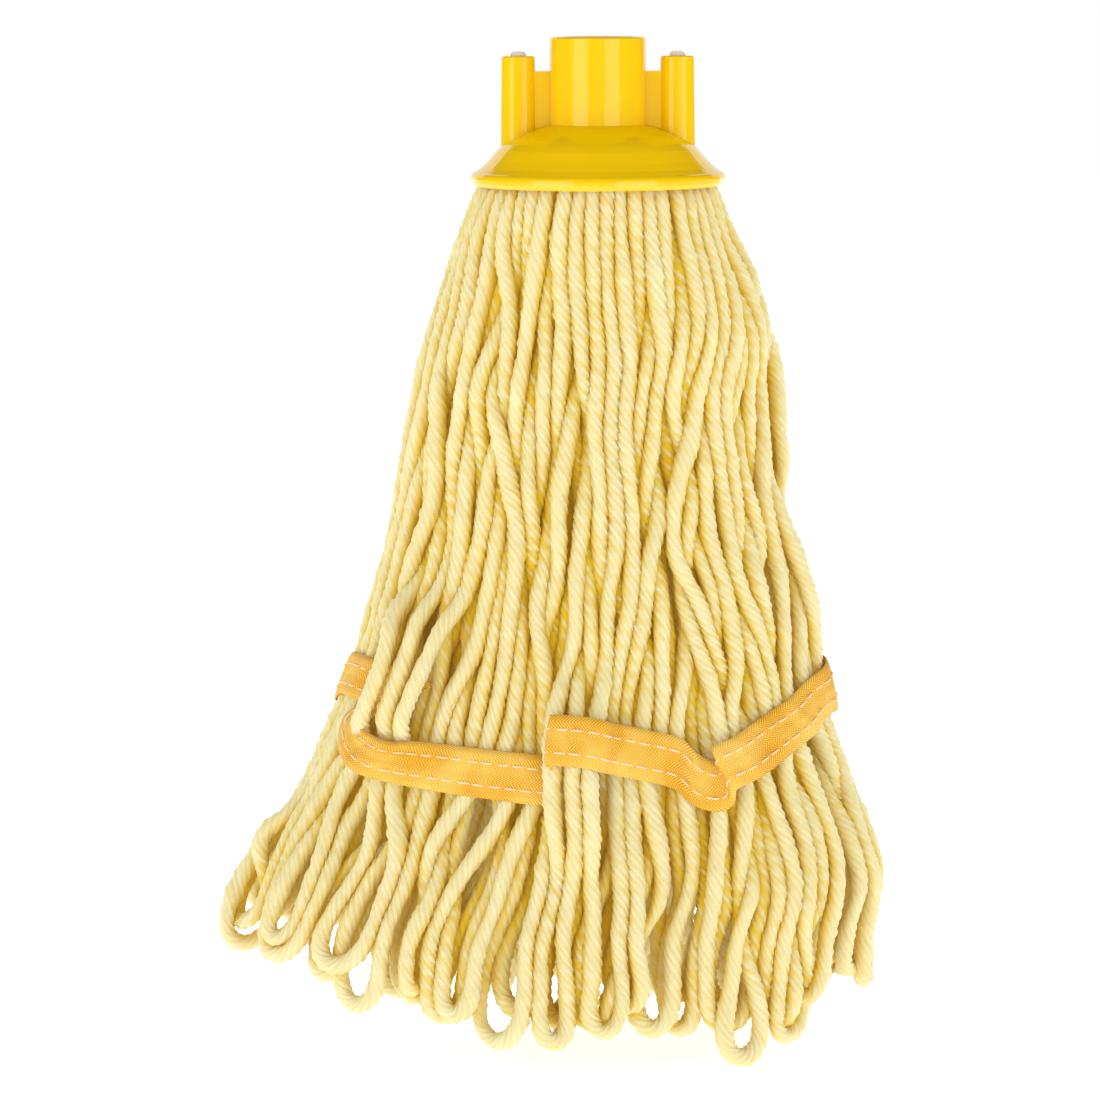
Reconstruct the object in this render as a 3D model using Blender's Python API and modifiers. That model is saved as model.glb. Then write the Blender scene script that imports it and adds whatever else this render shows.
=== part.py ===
"""String mop head: a moulded handle socket that clamps a looped cotton yarn skirt.

The yarn is folded over a retainer bar inside the socket's dome, so it hangs in front of the bar and
behind it. A stay tape in two plies, with two rows of stitching, holds the skirt together near its hem.

The frame is in metres with +Z up. The origin is the centre of the handle socket's mouth, X runs along
the retainer bar and -Y is the front. The skirt swings about the Y axis through PIVOT_Z.
"""

import math

import bmesh
import bpy
import numpy as np

# Handle tube
TUBE_R = 0.0160
BORE_R = 0.0120
BORE_DEPTH = 0.0286
MOUTH_CHAMFER = 0.0008

# Dome, whose outside is an ellipse turned about Z, the skirt that flares from it, and its lip
DOME_A, DOME_H, DOME_Z = 0.0369, 0.0175, -0.0445
DOME_EDGE_R = 0.0330
FLARE = ((0.0362, -0.0404), (0.0386, -0.0427))
WALL = 0.0024
CHAMBER_TOP_Z = -0.0311
LIP_R, LIP_X, LIP_Z = 0.0020, 0.0402, -0.0461
LIP_EDGE_R = 0.0015
RIM_Z = -0.0488
RIM_INNER_R = 0.0396

# Towers that take the retainer's prongs, and the webs that brace them
TOWER_X = 0.0262
TOWER_TOP_R, TOWER_FOOT_R = 0.0055, 0.0059
TOWER_TOP_Z, TOWER_FOOT_Z = -0.0062, -0.0370
TOWER_BEVEL = 0.0004
PRONG_BORE_R = 0.0029
WEB_TOP_Z, WEB_FOOT_Z = -0.0111, -0.0310
WEB_START_X, WEB_THICKNESS = 0.0140, 0.0040

# Retainer bar and prongs
BAR_SIZE = (0.0600, 0.0120, 0.0040)
BAR_Z = -0.0445
BAR_BEVEL = 0.0014
PRONG_R = 0.0026
PRONG_TOP_Z = -0.0046
BOSS_ROOM_R = 0.0064

# Yarn crown: its lower end is a ball about the pivot, so that the skirt can swing on it
PIVOT_Z = -0.0400
BALL_R = 0.0445
NECK_R = 0.0383
GAP = 0.0004
BALL_GAP = 0.0012
OVERCUT = 0.010

# Skirt outline, from the rim down: height, half width in X, half depth in Y, centre in X
OUTLINE = np.array(
    [
        (-0.049, 0.0380, 0.0380, 0.0000),
        (-0.098, 0.0545, 0.0395, 0.0000),
        (-0.151, 0.0650, 0.0405, -0.0005),
        (-0.206, 0.0790, 0.0430, -0.0050),
        (-0.248, 0.0920, 0.0470, -0.0080),
        (-0.281, 0.1090, 0.0520, -0.0120),
        (-0.303, 0.1160, 0.0550, -0.0145),
        (-0.343, 0.1160, 0.0560, -0.0145),
    ]
)
# Hem line: X, and the height at which the yarn loops there end
HEM = np.array(
    [
        (-0.120, -0.303),
        (-0.095, -0.318),
        (-0.060, -0.324),
        (0.000, -0.331),
        (0.045, -0.346),
        (0.072, -0.322),
        (0.097, -0.290),
    ]
)
# Rings of yarn hanks: name, how many, and the share of the outline's radius where they lie
RINGS = (("outer", 16, 1.000), ("middle", 12, 0.615), ("inner", 4, 0.239))
HANK_END = ((0.0110, 1.0), (0.0035, 0.82), (0.0, 0.40))
HANK_AREA = 0.000139
HANK_WIDEST = 0.0098
HANK_MARGIN = 0.0058
HANK_SIDES = 8

# Stay tape and its stitching
TAPE_WIDTH = 0.0167
TAPE_THICKNESS = 0.0009
TAPE_FRONT_Z, TAPE_SIDE_Z = -0.2330, -0.2130
OUTER_PLY_STAND = 0.0032
INNER_PLY_SHARE = 0.80
TAPE_STEPS = 56
STITCH_R = 0.0003
STITCH_ROWS = (("upper", 0.22), ("lower", -0.24))

TURN_STEPS, SOCKET_STEPS = 48, 96
PLASTIC = ((0.93, 0.60, 0.010), 0.28)
NATURAL_PLASTIC = ((0.86, 0.62, 0.50), 0.45)
COTTON = ((0.90, 0.76, 0.33), 0.95)
WEBBING = ((0.95, 0.50, 0.045), 0.85)
THREAD = ((0.93, 0.80, 0.72), 0.80)


def material(name, look):
    """A plain Principled material from a colour and a roughness."""
    colour, roughness = look
    made = bpy.data.materials.new(name)
    made.use_nodes = True
    shader = made.node_tree.nodes["Principled BSDF"]
    shader.inputs["Base Color"].default_value = (*colour, 1.0)
    shader.inputs["Roughness"].default_value = roughness
    shader.inputs["Metallic"].default_value = 0.0
    return made


def add_object(name, data, collection):
    made = bpy.data.objects.new(name, data)
    collection.objects.link(made)
    return made


def finish_part(part, look):
    """Gives a part its own material and smooth shading on its round faces."""
    part.data.materials.append(material(part.name, look))
    if part.type == "MESH":
        part.data.shade_smooth()
        part.data.set_sharp_from_angle(angle=math.radians(35))


def mesh_from(name, build):
    """A mesh made by a function that fills a bmesh."""
    mesh = bpy.data.meshes.new(name)
    work = bmesh.new()
    build(work)
    work.to_mesh(mesh)
    work.free()
    return mesh


def turned(name, profile, collection, steps=TURN_STEPS):
    """A profile of (radius, height) points, turned about Z by a Screw."""

    def build(work):
        points = [work.verts.new((r, 0.0, z)) for r, z in profile]
        for a, b in zip(points, points[1:]):
            work.edges.new((a, b))

    made = add_object(name, mesh_from(name, build), collection)
    screw = made.modifiers.new("turn", "SCREW")
    screw.steps = screw.render_steps = steps
    screw.use_merge_vertices = True
    screw.merge_threshold = 0.00001
    return made


def cylinder(name, low_r, top_r, low_z, top_z, x, collection, segments=24):
    """A round bar or a drafted boss, upright at X."""

    def build(work):
        bmesh.ops.create_cone(
            work,
            cap_ends=True,
            segments=segments,
            radius1=low_r,
            radius2=top_r,
            depth=top_z - low_z,
        )

    made = add_object(name, mesh_from(name, build), collection)
    made.location = (x, 0.0, (low_z + top_z) / 2)
    return made


def box(name, size, centre, collection):
    def build(work):
        bmesh.ops.create_cube(work, size=1.0)
        bmesh.ops.scale(work, vec=size, verts=work.verts)

    made = add_object(name, mesh_from(name, build), collection)
    made.location = centre
    return made


def bevel(part, width, segments=2):
    made = part.modifiers.new("edges", "BEVEL")
    made.width = width
    made.segments = segments
    made.limit_method = "ANGLE"
    made.angle_limit = math.radians(50)


def combine(part, tool, operation):
    """Joins a tool to a part, or cuts it away, and hides the tool."""
    made = part.modifiers.new(f"{operation.lower()} {tool.name}", "BOOLEAN")
    made.operation = operation
    made.object = tool
    tool.hide_render = True
    tool.display_type = "WIRE"


def arc(x, z, r, start, end, steps):
    """Points on a circle in the XZ plane, between two angles in degrees."""
    angles = np.radians(np.linspace(start, end, steps + 1))
    return [(x + r * math.cos(t), z + r * math.sin(t)) for t in angles]


def dome_line(inset, start, end, steps):
    """Points on the dome's ellipse, moved in by inset, between two radii."""
    a, h = DOME_A - inset, DOME_H - inset
    angles = np.linspace(math.acos(start / a), math.acos(end / a), steps + 1)
    return [(a * math.cos(t), DOME_Z + h * math.sin(t)) for t in angles]


def socket_profile():
    """The bore's floor and wall, the tube, dome and lip outside, and the chamber inside."""
    bore = [
        (0.0, -BORE_DEPTH),
        (BORE_R - 0.0003, -BORE_DEPTH),
        (BORE_R, -MOUTH_CHAMFER),
        (BORE_R + MOUTH_CHAMFER, 0.0),
    ]
    tube = [(TUBE_R - MOUTH_CHAMFER, 0.0), (TUBE_R - 0.0002, -MOUTH_CHAMFER / 2)]
    dome = dome_line(0.0, TUBE_R, DOME_EDGE_R, 6) + list(FLARE)
    lip = arc(LIP_X, LIP_Z, LIP_R, 80, 0, 4)
    edge = arc(LIP_X + LIP_R - LIP_EDGE_R, RIM_Z + LIP_EDGE_R, LIP_EDGE_R, 0, -90, 2)
    inner_a = DOME_A - WALL
    throat = [(RIM_INNER_R, RIM_Z), (RIM_INNER_R - 0.0004, RIM_Z + 0.0020)]
    chamber_r = inner_a * math.sqrt(1 - ((CHAMBER_TOP_Z - DOME_Z) / (DOME_H - WALL)) ** 2)
    chamber = dome_line(WALL, inner_a * 0.995, chamber_r, 6)
    return bore + tube + dome + lip + edge + throat + chamber + [(0.0, CHAMBER_TOP_Z)]


def make_socket(parts, cutters):
    """Handle tube, dome and lip in one moulding, with two braced towers bored for the prongs."""
    socket = turned("socket_shell", socket_profile(), parts, steps=SOCKET_STEPS)
    for side, x in (("left", -TOWER_X), ("right", TOWER_X)):
        tower = cylinder(
            f"{side}_tower", TOWER_FOOT_R, TOWER_TOP_R, TOWER_FOOT_Z, TOWER_TOP_Z, x, cutters
        )
        bevel(tower, TOWER_BEVEL, 1)
        combine(socket, tower, "UNION")
        sign = math.copysign(1, x)
        web = box(
            f"{side}_web",
            (TOWER_X - WEB_START_X, WEB_THICKNESS, WEB_TOP_Z - WEB_FOOT_Z),
            (sign * (TOWER_X + WEB_START_X) / 2, 0.0, (WEB_TOP_Z + WEB_FOOT_Z) / 2),
            cutters,
        )
        combine(socket, web, "UNION")
    for side, x in (("left", -TOWER_X), ("right", TOWER_X)):
        bore = cylinder(
            f"{side}_prong_bore",
            PRONG_BORE_R,
            PRONG_BORE_R,
            RIM_Z - OVERCUT,
            TOWER_TOP_Z + OVERCUT,
            x,
            cutters,
        )
        combine(socket, bore, "DIFFERENCE")
    finish_part(socket, PLASTIC)


def prong_profile():
    """A round pin with a domed head, down to inside the bar."""
    head = [(0.0, PRONG_TOP_Z), (PRONG_R * 0.75, PRONG_TOP_Z - 0.0002)]
    return head + [(PRONG_R, PRONG_TOP_Z - 0.0010), (PRONG_R, BAR_Z), (0.0, BAR_Z)]


def make_retainer(parts, cutters):
    """The bar that the yarn is folded over, with a prong up each tower."""
    bar = box("yarn_retainer", BAR_SIZE, (0.0, 0.0, BAR_Z), parts)
    bevel(bar, BAR_BEVEL)
    for side, x in (("left", -TOWER_X), ("right", TOWER_X)):
        prong = turned(f"{side}_prong", prong_profile(), cutters, steps=20)
        prong.location.x = x
        combine(bar, prong, "UNION")
    finish_part(bar, NATURAL_PLASTIC)


def ball_line(start_r, end_r, radius, steps):
    """Points on a sphere about the pivot, from one radius in to another, below the pivot."""
    start, end = math.asin(start_r / radius), math.asin(end_r / radius)
    return [
        (radius * math.sin(t), PIVOT_Z - radius * math.cos(t))
        for t in np.linspace(start, end, steps + 1)
    ]


def make_crown(parts, cutters):
    """The folded middle of all the yarn, clamped in the dome, down to where it starts to bend."""
    inset = WALL + GAP
    top_z = CHAMBER_TOP_Z - GAP
    top_r = (DOME_A - inset) * math.sqrt(1 - ((top_z - DOME_Z) / (DOME_H - inset)) ** 2)
    profile = [(0.0, top_z)]
    profile += dome_line(inset, top_r, (DOME_A - inset) * 0.995, 6)
    profile += [(NECK_R, RIM_Z + 0.0020)]
    profile += ball_line(NECK_R, 0.0, BALL_R, 8)
    crown = turned("yarn_crown", profile, parts)
    bar_x, bar_y, bar_z = (side + 2 * GAP for side in BAR_SIZE)
    slot_top = BAR_Z + bar_z / 2
    slot_low = PIVOT_Z - BALL_R - OVERCUT
    room_top = top_z + OVERCUT
    slot = box(
        "crown_slot",
        (bar_x, bar_y, slot_top - slot_low),
        (0.0, 0.0, (slot_top + slot_low) / 2),
        cutters,
    )
    combine(crown, slot, "DIFFERENCE")
    for side, x in (("left", -TOWER_X), ("right", TOWER_X)):
        boss = cylinder(
            f"{side}_boss_room", BOSS_ROOM_R, BOSS_ROOM_R, TOWER_FOOT_Z - GAP, room_top, x, cutters
        )
        prong = cylinder(
            f"{side}_prong_room", PRONG_R + GAP, PRONG_R + GAP, BAR_Z, room_top, x, cutters
        )
        combine(crown, boss, "DIFFERENCE")
        combine(crown, prong, "DIFFERENCE")
    finish_part(crown, COTTON)


def outline(z):
    """The skirt's half width, half depth and centre in X at a height."""
    rising = OUTLINE[::-1]
    return [float(np.interp(z, rising[:, 0], rising[:, i])) for i in (1, 2, 3)]


def hank_section(z, count, share, phi):
    """One hank's oval at a height: its centre, outward and sideways directions, and half sizes.

    The hanks start evenly round the collar, and lower down they even out along the wider oval.
    """
    half_x, half_y, middle = outline(z)
    a, b = half_x - HANK_MARGIN, half_y - HANK_MARGIN
    evened = (a - b) / (a + b)
    turn = phi + evened * math.sin(2 * phi) / 2
    centre = np.array([middle + a * share * math.cos(turn), b * share * math.sin(turn)])
    along = np.array([-a * math.sin(turn), b * math.cos(turn)])
    stretch = np.linalg.norm(along)
    along = along / stretch
    outward = np.array([along[1], -along[0]])
    spread = 1 + evened * math.cos(2 * phi)
    spacing = 2 * math.sin(math.pi / count) * stretch * share * spread
    reach = math.hypot(a * outward[0], b * outward[1])
    shares = [ring[2] for ring in RINGS] + [0.0]
    inward = shares[shares.index(share) + 1]
    half_along = min(0.44 * spacing, HANK_WIDEST)
    pitch = 0.45 * (share - inward) * reach
    half_out = min(HANK_AREA / math.pi / half_along, pitch, 0.95 * half_along)
    return centre, outward, along, half_out, half_along


def make_hank(name, count, share, phi, parts):
    """Two yarn loops side by side as one closed oval hank, lofted from the crown's ball to the hem."""
    centre_x = hank_section(float(HEM[:, 1].mean()), count, share, phi)[0][0]
    hem_z = float(np.interp(centre_x, HEM[:, 0], HEM[:, 1])) + 0.004 * (1 - share)
    start_z = OUTLINE[0, 0]
    levels = [z for z in OUTLINE[1:, 0] if z > hem_z + 0.016]
    ends = [(hem_z + height, swell) for height, swell in HANK_END]
    rings = [(start_z, 1.0)] + [(z, 1.0) for z in levels] + ends

    def build(work):
        lines = []
        for index, (z, swell) in enumerate(rings):
            centre, outward, along, half_out, half_along = hank_section(z, count, share, phi)
            line = []
            for step in range(HANK_SIDES):
                turn = 2 * math.pi * step / HANK_SIDES
                x, y = (
                    centre
                    + outward * half_out * swell * math.cos(turn)
                    + along * half_along * swell * math.sin(turn)
                )
                ball = (BALL_R + BALL_GAP) ** 2 - x * x - y * y
                height = PIVOT_Z - math.sqrt(ball) if index == 0 else z
                line.append(work.verts.new((x, y, height)))
            lines.append(line)
        for upper, lower in zip(lines, lines[1:]):
            for i in range(HANK_SIDES):
                j = (i + 1) % HANK_SIDES
                work.faces.new((upper[i], lower[i], lower[j], upper[j]))
        work.faces.new(lines[0])
        work.faces.new(lines[-1][::-1])

    hank = add_object(name, mesh_from(name, build), parts)
    finish_part(hank, COTTON)


def make_hanks(parts):
    for ring, count, share in RINGS:
        for index in range(count):
            phi = 2 * math.pi * (index + 0.5) / count
            make_hank(f"{ring}_hank_{index + 1:02d}", count, share, phi, parts)


def tape_point(phi, across, stand, share=1.0):
    """A point on the stay tape: across runs over its width, stand is how far it is off the outline."""
    middle_z = TAPE_SIDE_Z + (TAPE_FRONT_Z - TAPE_SIDE_Z) * math.sin(phi) ** 2
    z = middle_z + across * TAPE_WIDTH
    half_x, half_y, middle = outline(z)
    x = middle + (half_x * share + stand) * math.cos(phi)
    return x, (half_y * share + stand) * math.sin(phi), z


def make_ply(name, stand, share, parts):
    """One ply of the stay tape, a band round the skirt."""

    def build(work):
        edges = []
        for step in range(TAPE_STEPS):
            phi = 2 * math.pi * step / TAPE_STEPS
            edges.append([work.verts.new(tape_point(phi, e, stand, share)) for e in (0.5, -0.5)])
        for one, two in zip(edges, edges[1:] + edges[:1]):
            work.faces.new((one[0], one[1], two[1], two[0]))

    ply = add_object(name, mesh_from(name, build), parts)
    wall = ply.modifiers.new("thickness", "SOLIDIFY")
    wall.thickness = TAPE_THICKNESS
    wall.offset = 1.0
    finish_part(ply, WEBBING)


def make_stitching(row, across, parts):
    """One row of stitching, a thread that lies on the outer ply."""
    stand = OUTER_PLY_STAND + TAPE_THICKNESS + GAP + STITCH_R
    curve = bpy.data.curves.new(f"{row}_stitching", "CURVE")
    curve.dimensions = "3D"
    curve.bevel_depth = STITCH_R
    curve.bevel_resolution = 0
    spline = curve.splines.new("POLY")
    spline.points.add(TAPE_STEPS - 1)
    for step, point in enumerate(spline.points):
        point.co = (*tape_point(2 * math.pi * step / TAPE_STEPS, across, stand), 1.0)
    spline.use_cyclic_u = True
    thread = add_object(f"{row}_stitching", curve, parts)
    finish_part(thread, THREAD)


def main():
    for old in list(bpy.data.objects):
        bpy.data.objects.remove(old)
    parts = bpy.data.collections.new("string_mop_head")
    cutters = bpy.data.collections.new("cutters")
    bpy.context.scene.collection.children.link(parts)
    bpy.context.scene.collection.children.link(cutters)
    make_socket(parts, cutters)
    make_retainer(parts, cutters)
    make_crown(parts, cutters)
    make_hanks(parts)
    make_ply("stay_tape_outer", OUTER_PLY_STAND, 1.0, parts)
    make_ply("stay_tape_inner", -HANK_MARGIN * INNER_PLY_SHARE, INNER_PLY_SHARE, parts)
    for row, across in STITCH_ROWS:
        make_stitching(row, across, parts)


main()
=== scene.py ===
"""A string mop head: a glossy yellow handle socket over a skirt of looped, twisted cotton yarn,
gathered near its hem by a stitched orange-yellow stay tape. Metres, +Z up, the front is -Y."""

import math

import bpy
import numpy as np
from mathutils import Matrix, Vector


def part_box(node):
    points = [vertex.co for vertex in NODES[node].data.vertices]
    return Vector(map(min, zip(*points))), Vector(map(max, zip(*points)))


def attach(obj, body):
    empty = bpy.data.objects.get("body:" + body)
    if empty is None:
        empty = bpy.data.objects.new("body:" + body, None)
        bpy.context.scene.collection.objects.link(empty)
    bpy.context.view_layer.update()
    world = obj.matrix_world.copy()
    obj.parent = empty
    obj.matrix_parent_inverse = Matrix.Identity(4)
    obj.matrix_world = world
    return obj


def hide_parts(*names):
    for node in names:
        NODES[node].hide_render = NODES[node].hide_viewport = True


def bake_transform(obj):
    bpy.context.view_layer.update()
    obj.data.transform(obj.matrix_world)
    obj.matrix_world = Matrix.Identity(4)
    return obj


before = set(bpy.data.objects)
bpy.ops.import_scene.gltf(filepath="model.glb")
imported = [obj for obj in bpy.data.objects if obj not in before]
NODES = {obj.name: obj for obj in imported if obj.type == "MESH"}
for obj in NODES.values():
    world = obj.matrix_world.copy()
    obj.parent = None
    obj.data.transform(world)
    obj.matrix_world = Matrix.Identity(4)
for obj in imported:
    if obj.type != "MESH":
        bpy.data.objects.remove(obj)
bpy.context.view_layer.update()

SHELL_LOW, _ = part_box("socket_shell")
BAR_LOW, BAR_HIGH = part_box("yarn_retainer")
BAR_TOP = BAR_LOW.z + 0.0040

# ---------------------------------------------------------------- camera


def add_camera():
    """At the photograph's angle: a long lens just above the socket, looking slightly down."""
    frame_height, distance = 0.3670, 1.60
    middle = Vector((-0.0163, 0.0, -0.1702))
    place = Vector((-0.0080, -distance, 0.0300))
    data = bpy.data.cameras.new("camera")
    data.sensor_width = 36.0
    data.lens = data.sensor_width / 2 / (frame_height / 2 / (middle - place).length)
    data.clip_start, data.clip_end = 0.05, 20.0
    camera = bpy.data.objects.new("camera", data)
    bpy.context.scene.collection.objects.link(camera)
    camera.location = place
    turn = (middle - place).to_track_quat("-Z", "Y").to_matrix()
    roll = Matrix.Rotation(math.radians(-0.2), 3, "Z")
    camera.rotation_euler = (turn @ roll).to_euler()
    bpy.context.scene.camera = camera


add_camera()

# ---------------------------------------------------------------- yarn layout

YARN_D = 0.0057
STEP = 0.0040
COLLAR_Z = SHELL_LOW.z - 0.0006
SEED = 20
# How long a strand hangs, about, and how far down the rings have spread.
SKIRT_LONG, SPREAD_LONG = 0.27, 0.150

# Height, half width, half depth and centre x of the skirt of strands, near part.py's hanks.
OUTLINE = np.array([
    (-0.049, 0.0390, 0.0390, 0.0000),
    (-0.064, 0.0451, 0.0392, -0.0008),
    (-0.081, 0.0514, 0.0394, 0.0005),
    (-0.098, 0.0571, 0.0396, 0.0005),
    (-0.114, 0.0585, 0.0398, -0.0025),
    (-0.151, 0.0638, 0.0405, -0.0035),
    (-0.181, 0.0713, 0.0420, -0.0033),
    (-0.206, 0.0777, 0.0430, -0.0047),
    (-0.228, 0.0838, 0.0450, -0.0065),
    (-0.248, 0.0912, 0.0470, -0.0072),
    (-0.264, 0.1004, 0.0495, -0.0090),
    (-0.281, 0.1084, 0.0520, -0.0120),
    (-0.295, 0.1090, 0.0540, -0.0170),
    (-0.343, 0.1090, 0.0560, -0.0180),
])
# The hem's height at each x.
HEM = np.array([
    (-0.126, -0.301), (-0.113, -0.302), (-0.103, -0.311), (-0.083, -0.314), (-0.073, -0.325),
    (-0.053, -0.328), (-0.033, -0.335), (-0.003, -0.331), (0.024, -0.334), (0.043, -0.345),
    (0.057, -0.335), (0.072, -0.327), (0.087, -0.320), (0.097, -0.300),
])
# Strands in one half of each ring at the collar, the ring's radius, and its share of the
# outline from the tape down, where the inner strands have spread into a shell.
RINGS = (
    (24, 0.0366, 1.00), (20, 0.0316, 0.975), (16, 0.0258, 0.90),
    (10, 0.0195, 0.84), (6, 0.0130, 0.74), (4, 0.0068, 0.64),
)
TAPE_FRONT_Z, TAPE_SIDE_Z, TAPE_HALF = -0.2330, -0.2130, 0.0084
INNER_PLY_SHARE = 0.74
# Outer strands in front, counted from the right: those in the middle that lie over the tape's lower
# run, with the x they take there; those that bulge over it at the left, with their x at NOSE_TOP_Z;
# and the two that bow out at the right, with how far, the middle height and the reach.
OVER_SLOTS = {11: -0.0043, 12: -0.0090, 13: -0.0137}
OVER_X, OVER_Z = -0.0085, -0.2390
NOSE_SLOTS = {18: -0.0580, 19: -0.0632, 20: -0.0684}
NOSE_TOP_Z, NOSE_Z, NOSE_SLOPE, NOSE_STAND = -0.2050, -0.2080, 0.46, 1.18
NOSE_OVER_LOW, NOSE_OVER_HIGH = -0.2262, -0.1840
BOWED_SLOTS = {0: (0.0065, -0.1120, 0.032), 1: (0.0010, -0.1880, 0.038)}
# How a point of a strand lies at the tape: as the rest do, over the tape, or bowed out.
PLAIN, OVER_TAPE, BOWED = 0.0, 1.0, 2.0


def smooth(t):
    t = np.clip(t, 0.0, 1.0)
    return t * t * (3.0 - 2.0 * t)


def outline_at(z):
    """Half width, half depth and centre x of the yarn's centre lines at these heights."""
    below = -OUTLINE[:, 0]
    half_w, half_d, centre = (np.interp(-z, below, OUTLINE[:, k]) for k in (1, 2, 3))
    inset = YARN_D / 2 - 0.0004
    return half_w - inset, half_d - inset, centre


def waves(rng, s, sizes):
    """A smooth wander along a strand, from nothing at the collar to its full size a little below."""
    total = np.zeros_like(s)
    for turns, size in sizes:
        total += size * rng.uniform(0.5, 1.2) * np.sin(
            2 * math.pi * (turns * rng.uniform(0.8, 1.2) * s + rng.uniform()))
    return total * smooth(s / 0.20)


def bunches(x, z, side):
    """The sideways shift that gathers neighbouring strands into groups with gaps between."""
    phase = 0.8 if side > 0 else 2.7
    return (0.0024 * np.sin(2 * math.pi * (x / 0.033 + z / 0.21) + phase)
            + 0.0016 * np.sin(2 * math.pi * (x / 0.019 - z / 0.13) + 2.3 * phase))


def leg(rng, ring, phi, side, bottom, drift, stand):
    """A strand's wished route from the collar down to a height, as points. The fourth column
    is PLAIN, OVER_TAPE or BOWED."""
    z = np.arange(COLLAR_Z, bottom, -STEP * 0.9)
    s = (COLLAR_Z - z) / SKIRT_LONG
    half_w, half_d, centre = outline_at(z)
    collar_share = RINGS[ring][1] / RINGS[0][1]
    share = collar_share + (RINGS[ring][2] - collar_share) * smooth((COLLAR_Z - z) / SPREAD_LONG)
    uneven = (half_w - half_d) / (half_w + half_d)
    angle = phi + uneven * np.sin(2 * phi) / 2
    x = half_w * share * np.cos(angle)
    y = half_d * share * np.sin(angle)
    along = np.stack([-half_w * np.sin(angle), half_d * np.cos(angle)], 1)
    along /= np.linalg.norm(along, axis=1, keepdims=True)
    out = np.stack([along[:, 1], -along[:, 0]], 1)
    sideways = waves(rng, s, ((0.6, 0.0040), (1.5, 0.0030), (3.4, 0.0019), (6.5, 0.0009)))
    sideways += drift * smooth((s - 0.15) / 0.75)
    sideways += bunches(x, z, side) * smooth(s / 0.3) * along[:, 0]
    outwards = waves(rng, s, ((0.9, 0.0020), (2.4, 0.0017))) + stand * smooth(s / 0.3)
    flat = np.stack([x, y], 1) + along * sideways[:, None] + out * outwards[:, None]
    points = np.stack([flat[:, 0] + centre, side * flat[:, 1], z, np.full_like(z, PLAIN)], 1)
    if side > 0 and ring == 0:
        guide(points, int(-phi / math.pi * RINGS[0][0]))
    return points


def bump(z, middle, reach):
    """1 at the middle, falling smoothly to 0 this far to either side of it."""
    return smooth(1 - np.abs(z - middle) / reach)


def guide(points, slot):
    """Moves the outer strands that the photograph shows out of line."""
    z = points[:, 2]
    if slot in OVER_SLOTS:
        at_tape = np.interp(-TAPE_FRONT_Z, -z, points[:, 0])
        points[:, 0] += (OVER_SLOTS[slot] - at_tape) * bump(z, OVER_Z, 0.085)
        points[:, 1] -= 0.0050 * bump(z, OVER_Z, 0.040)
        points[:, 3] = np.where(np.abs(z - OVER_Z) < 0.028, OVER_TAPE, PLAIN)
    if slot in NOSE_SLOTS:
        line = NOSE_SLOTS[slot] + NOSE_SLOPE * (z - NOSE_TOP_Z)
        points[:, 0] += (line - points[:, 0]) * smooth(1.5 * bump(z, NOSE_Z, 0.080))
        half_w, half_d, centre = outline_at(z)
        across = (points[:, 0] - centre) / half_w
        stand = -half_d * np.sqrt(np.maximum(NOSE_STAND ** 2 - across ** 2, 0.01))
        points[:, 1] += (stand - points[:, 1]) * bump(z, NOSE_Z, 0.040)
        points[:, 3] = np.where((z > NOSE_OVER_LOW) & (z < NOSE_OVER_HIGH), OVER_TAPE, PLAIN)
    if slot in BOWED_SLOTS:
        size, middle, reach = BOWED_SLOTS[slot]
        points[:, 0] += size * bump(z, middle, reach)
        points[:, 3] = np.where(np.abs(z - middle) < reach, BOWED, PLAIN)


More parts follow.
